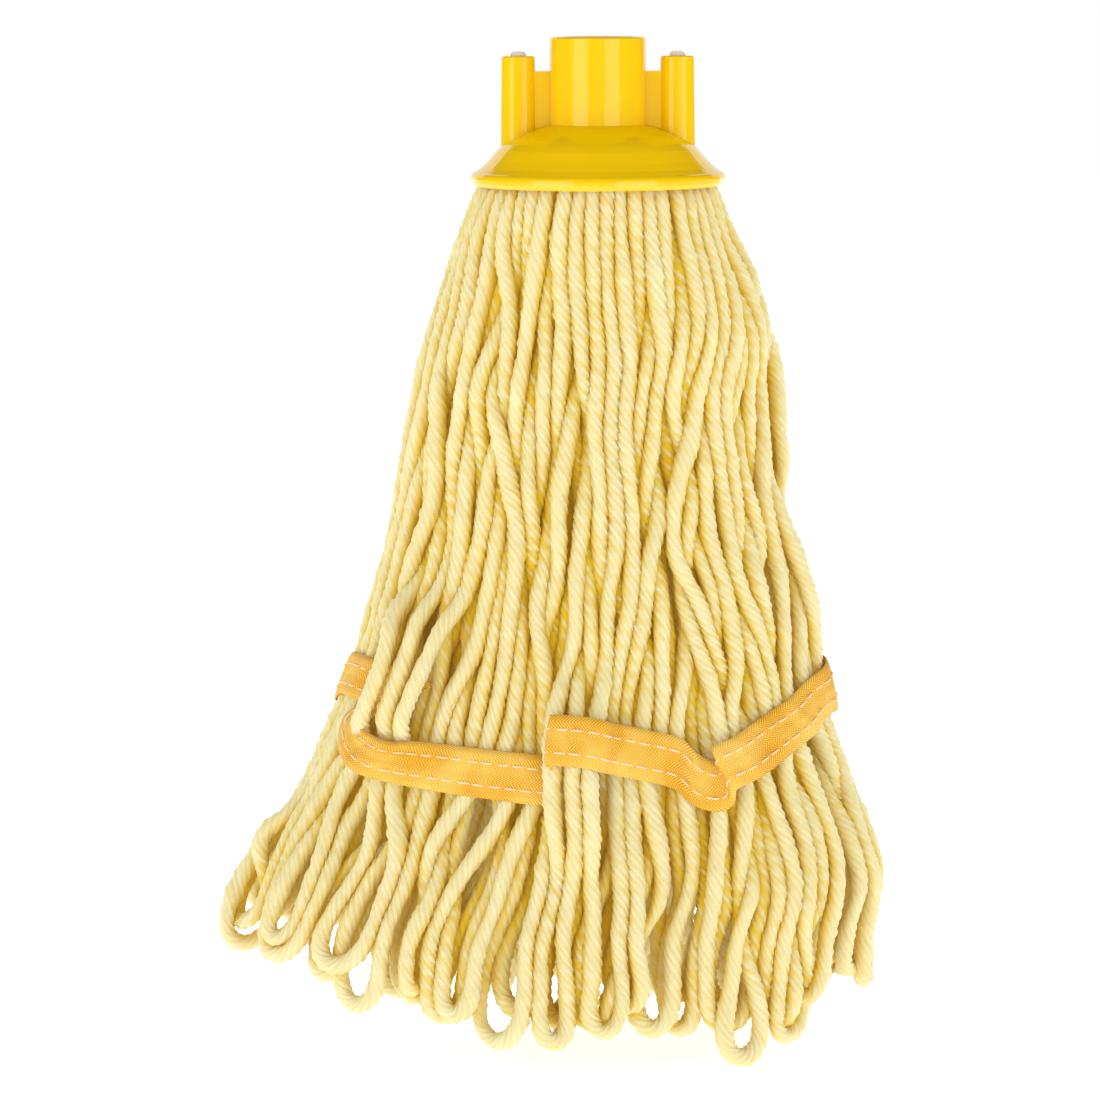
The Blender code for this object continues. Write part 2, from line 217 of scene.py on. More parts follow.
def loop(rng, ring, first, second, side):
    """Two legs and the bend that joins them at the hem, from collar to collar. The leftmost one
    in front stands away from the rest, open towards the camera, as the photograph shows it."""
    middle = (first + second) / 2
    half_w, half_d, centre = outline_at(np.array([-0.300]))
    uneven = (half_w[0] - half_d[0]) / (half_w[0] + half_d[0])
    angle = middle + uneven * math.sin(2 * middle) / 2
    at_hem = half_w[0] * RINGS[ring][2] * math.cos(angle) + centre[0]
    low = np.interp(at_hem, HEM[:, 0], HEM[:, 1])
    low += abs(rng.normal(0.0, 0.0045)) + (0.0 if ring < 2 else rng.uniform(0.0, 0.016))
    radius = rng.uniform(0.0052, 0.0080) if rng.uniform() < 0.8 else rng.uniform(0.008, 0.011)
    drift, stand = rng.normal(0.0, 0.0055), 0.0
    if ring < 2 and rng.uniform() < 0.32:
        drift, stand = rng.choice([-1, 1]) * rng.uniform(0.007, 0.016), 0.0050
    leftmost = side > 0 and ring == 0 and middle < -math.pi + 0.2
    if leftmost:
        low, radius, drift, stand = HEM[0, 1] - 0.006, 0.0085, 0.0, 0.0
    bend_z = low + radius + YARN_D / 2
    legs = []
    for phi in (first, second):
        legs.append(leg(rng, ring, phi, side, bend_z, drift + rng.normal(0, 0.0018), stand))
    n = min(len(part) for part in legs)
    down, up = legs[0][:n], legs[1][:n]
    centre_line = (down + up) / 2
    spread = up[-1] - down[-1]
    turned = rng.normal(0.0, 0.45)
    direction = Vector((spread[0], spread[1], 0.0))
    direction = direction.normalized() if direction.length > 1e-5 else Vector((1, 0, 0))
    direction = np.array([*(Matrix.Rotation(turned, 3, "Z") @ direction), 0.0])
    reach = rng.uniform(0.035, 0.065)
    if leftmost:
        direction, reach = np.array([-0.96, -0.28, 0.0, 0.0]), 0.068
        for part in (down, up, centre_line):
            fall = smooth((-0.262 - part[:, 2]) / 0.040)
            part[:, 0] += 0.0064 * fall
            part[:, 3] = np.where(fall > 0, BOWED, PLAIN)
    weight = smooth((bend_z + reach - centre_line[:, 2]) / reach)[:, None]
    down = down * (1 - weight) + (centre_line - direction * radius) * weight
    up = up * (1 - weight) + (centre_line + direction * radius) * weight
    heading = centre_line[-1] - centre_line[-6]
    heading /= np.linalg.norm(heading)
    t = np.linspace(0, math.pi, 9)[1:-1, None]
    bend = centre_line[-1] - direction * radius * np.cos(t) + heading * radius * 1.15 * np.sin(t)
    return np.concatenate([down, bend, up[::-1]])


def through_dome(start, crest_z, end):
    """From a strand at the collar, up beside the retainer's bar, and over it at this height to
    the strand behind. With no strand behind, the yarn ends in the dome."""
    bar_y = BAR_HIGH.y + 0.0027

    def beside(p, height, squeeze):
        reach = math.sqrt(max(0.0330 ** 2 - min(abs(p[0]), 0.0320) ** 2, 1e-9))
        room = bar_y if abs(p[0]) < BAR_HIGH.x + 0.004 else 0.0
        y = room + abs(p[1]) * max(reach - room, 0.0005) / max(0.0365, reach)
        return np.array([p[0] * squeeze, math.copysign(y, p[1]), height, PLAIN])

    rise = [beside(start, BAR_TOP - 0.0030, 0.90), beside(start, BAR_TOP + 0.0004, 0.88)]
    if end is None:
        last = beside(start, BAR_TOP + 0.0035, 0.86)
        last[1] *= 0.92
        return np.array(rise + [last])
    fall = [beside(end, BAR_TOP + 0.0004, 0.88), beside(end, BAR_TOP - 0.0030, 0.90)]
    top = (rise[-1] + fall[0]) / 2
    top[2] = crest_z
    shoulder = [rise[-1] * 0.45 + top * 0.55, top, fall[0] * 0.45 + top * 0.55]
    shoulder[0][2] = shoulder[2][2] = crest_z - 0.0012
    return np.array(rise + shoulder + fall)


def lay_out():
    """Every yarn's wished route: up in the dome, a loop in front, over the bar, a loop behind."""
    rng = np.random.default_rng(SEED)
    pairs = []
    for ring, (count, _, _) in enumerate(RINGS):
        angles = -math.pi * (np.arange(count) + 0.5 + rng.uniform(-0.30, 0.30, count)) / count
        pairs += [(ring, angles[k], angles[k + 1]) for k in range(0, count, 2)]
    routes = []
    for ring, first, second in pairs:
        front = loop(rng, ring, first, second, 1)
        back = loop(rng, ring, second, first, -1)
        crest_z = rng.uniform(-0.0395, -0.0350)
        begin = through_dome(front[0], crest_z, None)[::-1]
        over = through_dome(front[-1], crest_z, back[0])
        end = through_dome(back[-1], crest_z, None)
        routes.append(np.concatenate([begin, front, over, back, end]))
    return routes, [ring for ring, _, _ in pairs]


def resampled(points, step):
    """The same line with its points evenly spaced."""
    steps = np.linalg.norm(np.diff(points[:, :3], axis=0), axis=1)
    gone = np.concatenate([[0], np.cumsum(steps)])
    at = np.linspace(0, gone[-1], max(2, round(gone[-1] / step)) + 1)
    return np.stack([np.interp(at, gone, column) for column in points.T], 1)


def close_pairs(points, reach):
    """Indices of the pairs of points within this distance of each other."""
    cells = np.floor((points - points.min(0)) / reach).astype(np.int64) + 1
    size = cells.max(0) + 2
    key = (cells[:, 0] * size[1] + cells[:, 1]) * size[2] + cells[:, 2]
    order = np.argsort(key, kind="stable")
    ordered, n = key[order], len(points)
    firsts, seconds = [], []
    for dx in (-1, 0, 1):
        for dy in (-1, 0, 1):
            for dz in (-1, 0, 1):
                offset = (dx * size[1] + dy) * size[2] + dz
                if offset < 0:
                    continue
                start = np.searchsorted(ordered, ordered + offset, "left")
                stop = np.searchsorted(ordered, ordered + offset, "right")
                if offset == 0:
                    start = np.arange(n) + 1
                count = np.maximum(stop - start, 0)
                a = np.repeat(np.arange(n), count)
                within = np.arange(len(a)) - np.repeat(np.cumsum(count) - count, count)
                firsts.append(order[a])
                seconds.append(order[within + np.repeat(start, count)])
    first, second = np.concatenate(firsts), np.concatenate(seconds)
    near = np.sum((points[first] - points[second]) ** 2, axis=1) < reach * reach
    return first[near], second[near]


def tape_z(phi):
    """The height of the tape's middle all round: lower in front and behind than at the sides."""
    return TAPE_SIDE_Z + (TAPE_FRONT_Z - TAPE_SIDE_Z) * np.sin(phi) ** 2


def settle(routes, rings, rounds):
    """Position-based settling: the strands keep their length and their bends, push each other
    apart, and stay inside the skirt's outline and the tape's ring."""
    near, most_push = 0.0085, 0.0012
    lines = [resampled(r, STEP) for r in routes]
    place = np.concatenate(lines)
    place, kind = place[:, :3].copy(), np.round(place[:, 3])
    over_tape, bowed = kind == OVER_TAPE, kind == BOWED
    deep = np.concatenate([np.full(len(line), ring > 3) for line, ring in zip(lines, rings)])
    owner = np.concatenate([np.full(len(line), k) for k, line in enumerate(lines)])
    index = np.concatenate([np.arange(len(line)) for line in lines])
    wish = place.copy()
    free = (place[:, 2] < COLLAR_Z - 0.0005).astype(float)
    n = len(place)
    inner = np.flatnonzero((owner[1:-1] == owner[:-2]) & (owner[1:-1] == owner[2:])) + 1
    link = np.flatnonzero(owner[1:] == owner[:-1])
    rest = np.linalg.norm(place[link + 1] - place[link], axis=1)
    halves = [index[link] % 2 == parity for parity in (0, 1)]
    wished_bend = (wish[inner - 1] + wish[inner + 1]) / 2 - wish[inner]
    first = second = None
    for turn in range(rounds):
        late = turn / max(rounds - 1, 1)
        place += (wish - place) * (0.030 * (1 - late) + 0.004) * free[:, None]
        bend = (place[inner - 1] + place[inner + 1]) / 2 - place[inner] - wished_bend
        place[inner] += 0.55 * bend * free[inner, None]
        for half in halves:
            a, b, length = link[half], link[half] + 1, rest[half]
            gap = place[b] - place[a]
            size = np.linalg.norm(gap, axis=1)
            weight = free[a] + free[b]
            stretch = (size - length) / np.maximum(size * np.maximum(weight, 1), 1e-9)
            move = gap * stretch[:, None]
            place[a] += move * free[a, None]
            place[b] -= move * free[b, None]
        if turn % 6 == 0:
            first, second = close_pairs(place, near)
            far = (owner[first] != owner[second]) | (np.abs(index[first] - index[second]) > 3)
            far &= (free[first] + free[second]) > 0
            first, second = first[far], second[far]
        gap = place[second] - place[first]
        size = np.maximum(np.linalg.norm(gap, axis=1), 1e-9)
        low = np.minimum(place[first, 2], place[second, 2])
        thick = YARN_D * (0.84 + 0.07 * smooth((COLLAR_Z - low) / 0.04))
        push = np.maximum(thick - size, 0) * 0.45
        move = gap * (push / size)[:, None]
        shift = np.zeros_like(place)
        for k in range(3):
            shift[:, k] = np.bincount(second, move[:, k], n) - np.bincount(first, move[:, k], n)
        length = np.linalg.norm(shift, axis=1, keepdims=True)
        shift *= np.minimum(1.0, most_push / np.maximum(length, 1e-9))
        place += shift * free[:, None]
        # How far out each point is, as a share of the outline, and the most and least it may be:
        # between the tape's plies, but outside them where it lies over, and inside where it is deep.
        half_w, half_d, centre = outline_at(place[:, 2])
        share = np.hypot((place[:, 0] - centre) / half_w, place[:, 1] / half_d)
        phi = np.arctan2(place[:, 1] / half_d, (place[:, 0] - centre) / half_w)
        in_tape = smooth((TAPE_HALF * 1.8 - np.abs(place[:, 2] - tape_z(phi))) / TAPE_HALF)
        pressed = bump(place[:, 0], OVER_X, 0.026) * (place[:, 1] < 0)
        nose = 0.05 * (place[:, 0] < -0.04)
        most = np.where(over_tape, 1.19 + nose, 1.01 - (0.02 + 0.08 * pressed) * in_tape)
        most = np.where(bowed, 1.14, most)
        most = np.where(deep, most + (INNER_PLY_SHARE - 0.08 - most) * in_tape, most)
        least = np.where(deep, 0.0, INNER_PLY_SHARE + 0.08) * in_tape
        least = np.where(over_tape, 1.12 + nose, least)
        wanted = np.clip(share, least, most) / np.maximum(share, 1e-6)
        keep = 1 + (wanted - 1) * 0.5 * free
        place[:, 0] = centre + (place[:, 0] - centre) * keep
        place[:, 1] *= keep
    return [place[owner == k] for k in range(len(lines))]


def eased(line, passes):
    """The small kinks that settling leaves, smoothed out."""
    line = line.copy()
    for _ in range(passes):
        line[1:-1] = line[1:-1] * 0.5 + (line[:-2] + line[2:]) * 0.25
    return line


def curved(points, parts=4):
    """Points on a Catmull-Rom curve through these."""
    padded = np.concatenate([points[:1] * 2 - points[1:2], points, points[-1:] * 2 - points[-2:-1]])
    p0, p1, p2, p3 = padded[:-3], padded[1:-2], padded[2:-1], padded[3:]
    out = []
    for k in range(parts):
        t = k / parts
        out.append(0.5 * (2 * p1 + (p2 - p0) * t + (2 * p0 - 5 * p1 + 4 * p2 - p3) * t * t
                          + (3 * p1 - p0 - 3 * p2 + p3) * t ** 3))
    return np.concatenate([np.stack(out, 1).reshape(-1, points.shape[1]), points[-1:]])


# ---------------------------------------------------------------- meshes


def mesh_object(name, verts, faces, material):
    """A smooth-shaded object from arrays of vertices and of faces with equally many corners."""
    mesh = bpy.data.meshes.new(name)
    faces = np.asarray(faces, np.int32)
    mesh.vertices.add(len(verts))
    mesh.vertices.foreach_set("co", np.asarray(verts, np.float32).ravel())
    mesh.loops.add(faces.size)
    mesh.loops.foreach_set("vertex_index", faces.ravel())
    mesh.polygons.add(len(faces))
    starts = np.arange(0, faces.size, faces.shape[1], dtype=np.int32)
    mesh.polygons.foreach_set("loop_start", starts)
    mesh.update(calc_edges=True)
    mesh.shade_smooth()
    obj = bpy.data.objects.new(name, mesh)
    bpy.context.scene.collection.objects.link(obj)
    mesh.materials.append(material)
    return obj


def normals_along(points):
    """Two normals at each point of a line, turning as little as they can."""
    tangent = np.gradient(points, axis=0)
    tangent /= np.linalg.norm(tangent, axis=1, keepdims=True)
    normal = np.zeros_like(points)
    side = Vector((0.0, -1.0, 0.0))
    for k, t in enumerate(tangent):
        t = Vector(t)
        side = (side - t * side.dot(t)).normalized()
        normal[k] = side
    return normal, np.cross(tangent, normal)


# The yarn's twist: one turn in this length. Every other side of its mesh is the crest of a ply.
LAY, SIDES, RING_STEP = 0.0215, 14, 0.0015


def yarn_mesh(name, path, rng, material):
    """A twisted yarn on a path: plies as soft ridges that wind round it."""
    n = len(path)
    gone = np.arange(n) * RING_STEP
    normal, other = normals_along(path)
    thin = 1 - 0.34 * smooth((path[:, 2] - COLLAR_Z - 0.0005) / 0.0040)
    width = np.ones(n)
    for turns, size in ((9, 0.055), (23, 0.05), (61, 0.04), (140, 0.025)):
        width += size * np.sin(2 * math.pi * (turns * gone / 1.2 + rng.uniform()))
    radius = YARN_D / 2 * thin * width
    around = np.arange(SIDES) * 2 * math.pi / SIDES
    twist = -2 * math.pi * gone / LAY + rng.uniform(0, 6.28)
    for size in (0.50, 0.35, 0.22):
        twist += size * np.sin(2 * math.pi * (gone / (0.30 * size) + rng.uniform()))
    angle = around[None, :] + twist[:, None]
    crest = np.where(np.arange(SIDES) % 2 == 0, 1.0, 0.0)
    height = np.tile(np.where(crest > 0, 1.060, 0.865), (n, 1))
    for k in range(0, SIDES, 2):
        wave = 0.040 * np.sin(2 * math.pi * (gone / rng.uniform(0.012, 0.04) + rng.uniform()))
        height[:, k] += wave
    uneven = rng.normal(0.0, 0.045, (n + 2, SIDES))
    height += (uneven[:-2] + uneven[1:-1] + uneven[2:]) / 2.2
    flat = 1 + 0.08 * np.cos(2 * (angle - twist[:, None] * 0.13))
    rings = radius[:, None] * height * flat
    verts = (path[:, None, :] + normal[:, None, :] * (np.cos(angle) * rings)[..., None]
             + other[:, None, :] * (np.sin(angle) * rings)[..., None])
    row = np.arange(n - 1)[:, None] * SIDES
    col = np.arange(SIDES)[None, :]
    beside = (col + 1) % SIDES
    quads = np.stack([row + col, row + beside, row + SIDES + beside, row + SIDES + col], 2)
    caps = []
    for base, ahead in ((0, False), ((n - 1) * SIDES, True)):
        for k in range(SIDES // 2 - 1):
            cap = [base + k, base + k + 1, base + SIDES - 2 - k, base + SIDES - 1 - k]
            caps.append(cap if ahead else cap[::-1])
    faces = np.concatenate([quads.reshape(-1, 4), np.array(caps)])
    obj = mesh_object(name, verts.reshape(-1, 3), faces, material)
    coords = np.zeros((n, SIDES, 3), np.float32)
    coords[..., 0] = gone[:, None] + rng.uniform(0, 5)
    coords[..., 1] = np.cos(around)[None, :] * YARN_D / 2
    coords[..., 2] = np.sin(around)[None, :] * YARN_D / 2
    attribute = obj.data.attributes.new("yarn_coord", "FLOAT_VECTOR", "POINT")
    attribute.data.foreach_set("vector", coords.ravel())
    ply = obj.data.attributes.new("ply_height", "FLOAT", "POINT")
    ply.data.foreach_set("value", np.tile(crest, n).astype(np.float32))
    outwards = (np.cos(angle)[..., None] * normal[:, None]
                + np.sin(angle)[..., None] * other[:, None])
    return obj, verts, outwards


def grid_keys(points, origin, size, reach):
    """One number for the cell of a grid that each point lies in."""
    cells = np.floor((points - origin) / reach).astype(np.int64) + 1
    return (cells[:, 0] * size[1] + cells[:, 1]) * size[2] + cells[:, 2]


def yarn_ahead(samples, normals, centres, reach=0.0150):
    """How much yarn lies ahead of each sample within this reach. Nearer yarn counts for more."""
    origin = np.minimum(samples.min(0), centres.min(0)) - reach
    size = (np.maximum(samples.max(0), centres.max(0)) - origin) // reach + 4
    size = size.astype(np.int64)
    keys = grid_keys(centres, origin, size, reach)
    order = np.argsort(keys, kind="stable")
    ordered, own = keys[order], grid_keys(samples, origin, size, reach)
    cover = np.zeros(len(samples))
    for dx in (-1, 0, 1):
        for dy in (-1, 0, 1):
            for dz in (-1, 0, 1):
                key = own + (dx * size[1] + dy) * size[2] + dz
                start = np.searchsorted(ordered, key, "left")
                count = np.searchsorted(ordered, key, "right") - start
                a = np.repeat(np.arange(len(samples)), count)
                within = np.arange(len(a)) - np.repeat(np.cumsum(count) - count, count)
                b = order[within + np.repeat(start, count)]
                gap = centres[b] - samples[a]
                far2 = np.maximum(np.einsum("ij,ij->i", gap, gap), 1e-9)
                facing = np.einsum("ij,ij->i", gap, normals[a]) / np.sqrt(far2)
                share = np.clip(facing, 0, 1) * np.minimum((YARN_D / 2) ** 2 / far2, 1.0)
                share *= smooth((reach - np.sqrt(far2)) / (0.4 * reach))
                cover += np.bincount(a, share, len(samples))
    return cover


def mark_painted_shade(made):
    """Gives each yarn the attribute by which its material paints shade: how closely other yarn
    covers each point.
    """
    every, columns = 3, np.arange(0, SIDES, 2)
    centres = np.concatenate([verts[::2].mean(1) for _, verts, _ in made])
    picked = [(verts[::every][:, columns], out[::every][:, columns]) for _, verts, out in made]
    samples = np.concatenate([v.reshape(-1, 3) for v, _ in picked])
    normals = np.concatenate([o.reshape(-1, 3) for _, o in picked])
    cover = 1 - np.exp(-0.55 * yarn_ahead(samples, normals, centres))
    start = 0
    for (obj, verts, _), (few, _) in zip(made, picked):
        n, count = len(verts), len(few)
        part = cover[start:start + count * len(columns)].reshape(count, len(columns))
        start += count * len(columns)
        around = np.concatenate([part, part[:, :1]], 1)
        dense = np.stack([around[:, :-1], (around[:, :-1] + around[:, 1:]) / 2], 2)
        dense = dense.reshape(count, SIDES)
        at = np.arange(n) / every
        full = np.stack([np.interp(at, np.arange(count), dense[:, j]) for j in range(SIDES)], 1)
        attribute = obj.data.attributes.new("painted_shade", "FLOAT", "POINT")
        attribute.data.foreach_set("value", full.astype(np.float32).ravel())


# ---------------------------------------------------------------- materials


def new_material(name, **values):
    """A node material and its shader, with these values on the shader's own sockets."""
    material = bpy.data.materials.new(name)
    material.use_nodes = True
    shader = material.node_tree.nodes["Principled BSDF"]
    for key, value in values.items():
        shader.inputs[key.replace("_", " ")].default_value = value
    return material, material.node_tree, shader


def add(tree, kind, inputs=(), **settings):
    """A node with its settings, and its inputs linked or set."""
    node = tree.nodes.new(kind)
    for key, value in settings.items():
        setattr(node, key, value)
    for key, value in dict(inputs).items():
        if isinstance(value, bpy.types.NodeSocket):
            tree.links.new(value, node.inputs[key])
        else:
            node.inputs[key].default_value = value
    return node


def noise(tree, vector, scale, detail=2.0, **inputs):
    """The value of a noise texture."""
    return add(tree, "ShaderNodeTexNoise", {
        "Vector": vector, "Scale": scale, "Detail": detail, **inputs}).outputs["Fac"]


def noise_along(tree, vector, scales, detail=2.0, **inputs):
    """Noise whose grain differs along the three axes."""
    node = add(tree, "ShaderNodeMapping", {"Vector": vector, "Scale": scales})
    return noise(tree, node.outputs[0], 1.0, detail, **inputs)


def ranged(tree, value, low, high):
    """The value as 0 at low and 1 at high."""
    return add(tree, "ShaderNodeMapRange", {
        "Value": value, "From Min": low, "From Max": high}).outputs[0]


def computed(tree, operation, *values):
    """What one step of arithmetic makes of these values."""
    return add(tree, "ShaderNodeMath", enumerate(values), operation=operation).outputs[0]


def relief(tree, height, strength, distance, **inputs):
    """The normal of a surface with this height on it."""
    return add(tree, "ShaderNodeBump", {
        "Height": height, "Strength": strength, "Distance": distance, **inputs}).outputs[0]


def mixed(tree, factor, first, second, kind="MIX"):
    """The colour between two, by a factor."""
    node = tree.nodes.new("ShaderNodeMix")
    node.data_type = "RGBA"
    node.blend_type = kind
    # Of this node's sockets, these are the ones for the factor and for the two colours.
    for socket, value in ((0, factor), (6, first), (7, second)):
        if isinstance(value, bpy.types.NodeSocket):
            tree.links.new(value, node.inputs[socket])
        else:
            node.inputs[socket].default_value = value
    return node.outputs[2]


def yarn_material():
    """Matt cotton: its plies' valleys are darker than their crests, which is painted shade, and its
    tone changes with the fibres;
    and painted shade turns it golden where yarn lies close around it."""
    material, tree, shader = new_material(
        "cotton_yarn", Roughness=0.95, Specular_IOR_Level=0.10, Sheen_Weight=0.12,
        Sheen_Roughness=0.45, Subsurface_Weight=0.55, Subsurface_Scale=0.0045)
    shader.inputs["Subsurface Radius"].default_value = (1.0, 0.80, 0.30)
    shader.inputs["Sheen Tint"].default_value = (1.0, 0.93, 0.70, 1)
    coord = add(tree, "ShaderNodeAttribute", attribute_name="yarn_coord").outputs["Vector"]
    ply = add(tree, "ShaderNodeAttribute", attribute_name="ply_height").outputs["Fac"]
    # How closely other yarn covers each point: the mask of the painted shade below.
    deep = add(tree, "ShaderNodeAttribute", attribute_name="painted_shade").outputs["Fac"]
    fibres = noise_along(tree, coord, (260, 2600, 2600), 3.0, Roughness=0.6)
    patches = noise_along(tree, coord, (55, 260, 260))
    lumps = noise_along(tree, coord, (330, 900, 900))
    # Painted shade: the plies' valleys take a darker colour than their crests.
    painted_valley_shade, crest = (0.735, 0.675, 0.365, 1), (0.765, 0.735, 0.485, 1)
    base = mixed(tree, computed(tree, "POWER", ply, 0.40), painted_valley_shade, crest)
    # Painted shade: the colour turns deep golden where other yarn lies close around it.
    base = mixed(tree, ranged(tree, deep, 0.10, 0.56), base, (0.760, 0.535, 0.028, 1))
    for pattern, low, high, tint in ((fibres, 0.30, 0.70, (0.95, 0.90, 0.80, 1)),
                                     (patches, 0.35, 0.65, (0.97, 0.93, 0.84, 1))):
        tinted = mixed(tree, 1.0, base, tint, "MULTIPLY")
        base = mixed(tree, ranged(tree, pattern, low, high), tinted, base)
    tree.links.new(base, shader.inputs["Base Color"])
    # A faint painted glow: emission that stands in for the light that cotton passes on from strand
    # to strand.
    shader.inputs["Emission Color"].default_value = (1.0, 0.62, 0.08, 1)
    shader.inputs["Emission Strength"].default_value = 0.060
    broad = relief(tree, lumps, 0.6, 0.0007)
    fine = relief(tree, fibres, 0.5, 0.0004, Normal=broad)
    tree.links.new(fine, shader.inputs["Normal"])
    return material


def plastic_material(name, colour, deeper, roughness):
    """Moulded plastic between two close colours, with a faint orange peel."""
    material, tree, shader = new_material(
        name, Roughness=roughness, Specular_IOR_Level=0.65)
    place = add(tree, "ShaderNodeTexCoord").outputs["Object"]
    base = mixed(tree, noise(tree, place, 45.0), colour, deeper)
    tree.links.new(base, shader.inputs["Base Color"])
    rough = add(tree, "ShaderNodeMapRange", {"Value": noise(tree, place, 900.0, 3.0),
                                             "To Min": roughness - 0.02, "To Max": roughness + 0.05})
    tree.links.new(rough.outputs[0], shader.inputs["Roughness"])
    orange_peel = relief(tree, noise(tree, place, 160.0), 0.05, 0.0006)
    tree.links.new(orange_peel, shader.inputs["Normal"])
    return material


YARN = yarn_material()
PLASTIC = plastic_material(
    "socket_plastic", (0.900, 0.565, 0.0008, 1), (0.870, 0.535, 0.0008, 1), 0.10)
PIN = plastic_material("pin_plastic", (0.870, 0.720, 0.640, 1), (0.820, 0.660, 0.570, 1), 0.35)

# ---------------------------------------------------------------- the yarns


def make_yarns():
    """The settled paths of all yarns and their meshes."""
    rounds = 260
    lines = settle(*lay_out(), rounds)
    rng = np.random.default_rng(SEED + 1)
    paths, made = [], []
    for k, line in enumerate(lines):
        path = resampled(curved(eased(line, 3)), RING_STEP)
        paths.append(path)
        made.append(yarn_mesh(f"yarn_{k + 1:02d}", path, rng, YARN))
    # Painted shade: how closely other yarn covers each point, which turns the yarn's colour golden.
    mark_painted_shade(made)
    return paths, [obj for obj, _, _ in made]


PATHS, YARNS = make_yarns()
# Each yarn is as long as its two loops make it, because the hem isn't level.
LENGTHS = [round(float(np.linalg.norm(np.diff(p, axis=0), axis=1).sum()), 2) for p in PATHS]

# The hanks of part.py, as pairs of one in front and the one behind it.
HANKS = (
    [(f"outer_hank_{9 + k:02d}", f"outer_hank_{8 - k:02d}") for k in range(8)]
    + [(f"middle_hank_{7 + k:02d}", f"middle_hank_{6 - k:02d}") for k in range(6)]
    + [(f"inner_hank_{3 + k:02d}", f"inner_hank_{2 - k:02d}") for k in range(2)]
)
for k, (yarn, path, length) in enumerate(zip(YARNS, PATHS, LENGTHS)):
    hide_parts(*HANKS[k * len(HANKS) // len(YARNS)], "yarn_crown")
    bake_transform(yarn)

# ---------------------------------------------------------------- the stay tape

TAPE_WIDTH, TAPE_THICK, TAPE_STEP, TAPE_COLUMNS = 0.0167, 0.0009, 0.0007, 9
STITCH_ROWS = (("upper_stitching", 0.22), ("lower_stitching", -0.24))
STITCH_LONG, STITCH_APART, STITCH_R = 0.0042, 0.0052, 0.00023
RIB_APART, ZIGZAG_WIDE = 0.00105, 0.0021
# How far round each ply goes, in degrees from +X: its ends overlap behind.
PLY_START, PLY_STOP = 97, 473

# The tape's middle across the front, from left to right: x, height, how far it stands off the
# strands, and the way its width points, in degrees from the way round. It folds behind the
# bulging group, cups it, dives under the middle group and comes back over it, and folds again at
# the right.
TAPE_FRONT = np.array([
    (-0.0820, -0.2100, 0.0005, 68), (-0.0750, -0.2112, 0.0000, 62),
    (-0.0685, -0.2131, -0.0030, 60), (-0.0640, -0.2145, -0.0045, 45),
    (-0.0650, -0.2156, -0.0028, 30), (-0.0735, -0.2184, -0.0004, 14),
    (-0.0790, -0.2233, 0.0030, 5), (-0.0784, -0.2288, 0.0042, 22),
    (-0.0725, -0.2336, 0.0042, 48), (-0.0645, -0.2351, 0.0022, 66),
    (-0.0550, -0.2364, 0.0005, 74), (-0.0396, -0.2380, 0.0003, 76),
    (-0.0280, -0.2392, 0.0003, 77), (-0.0200, -0.2402, 0.0003, 79),
    (-0.0156, -0.2398, 0.0006, 83), (-0.0138, -0.2370, 0.0016, 87),
    (-0.0139, -0.2319, 0.0042, 89), (-0.0151, -0.2273, 0.0078, 90),
    (-0.0163, -0.2257, 0.0092, 90), (-0.0170, -0.2254, 0.0100, 90),
    (-0.0158, -0.2254, 0.0108, 90), (-0.0100, -0.2258, 0.0108, 89),
    (-0.0020, -0.2268, 0.0108, 88), (0.0018, -0.2282, 0.0088, 86),
    (0.0052, -0.2297, 0.0034, 83),
    (0.0139, -0.2318, 0.0018, 80), (0.0252, -0.2350, 0.0008, 76),
    (0.0300, -0.2398, 0.0006, 76), (0.0350, -0.2425, 0.0003, 80),
    (0.0388, -0.2432, 0.0003, 88), (0.0406, -0.2418, 0.0010, 96),
    (0.0400, -0.2393, 0.0022, 105), (0.0388, -0.2378, 0.0030, 111),
    (0.0386, -0.2369, 0.0037, 113), (0.0402, -0.2360, 0.0042, 117),
    (0.0470, -0.2338, 0.0026, 122), (0.0539, -0.2303, 0.0008, 124),
    (0.0610, -0.2262, 0.0003, 126), (0.0673, -0.2224, 0.0003, 128),
    (0.0722, -0.2180, 0.0003, 124),
])


def envelope(share_most):
    """How far out the strands under the tape reach, as a share of the outline, at each degree.
    Those that stand further out than share_most lie over the tape, so they don't count."""
    points = np.concatenate(PATHS)
    half_w, half_d, centre = outline_at(points[:, 2])
    x, y = (points[:, 0] - centre) / half_w, points[:, 1] / half_d
    share, phi = np.hypot(x, y), np.arctan2(y, x)
    low = np.abs(points[:, 2] - tape_z(phi)) < TAPE_WIDTH / 2 + 0.002
    under = low & (share < share_most)
    slope = np.hypot(np.cos(phi) / half_w, np.sin(phi) / half_d)
    reach = (share + YARN_D / 2 * slope)[under]
    slot = ((phi[under] + math.pi) / (2 * math.pi) * 360).astype(int) % 360
    most = np.zeros(360)
    np.maximum.at(most, slot, reach)
    wide = np.max([np.roll(most, k) for k in range(-5, 6)], axis=0)
    kernel = np.exp(-0.5 * (np.arange(-9, 10) / 3.2) ** 2)
    kernel /= kernel.sum()
    return sum(weight * np.roll(wide, k - 9) for k, weight in enumerate(kernel))


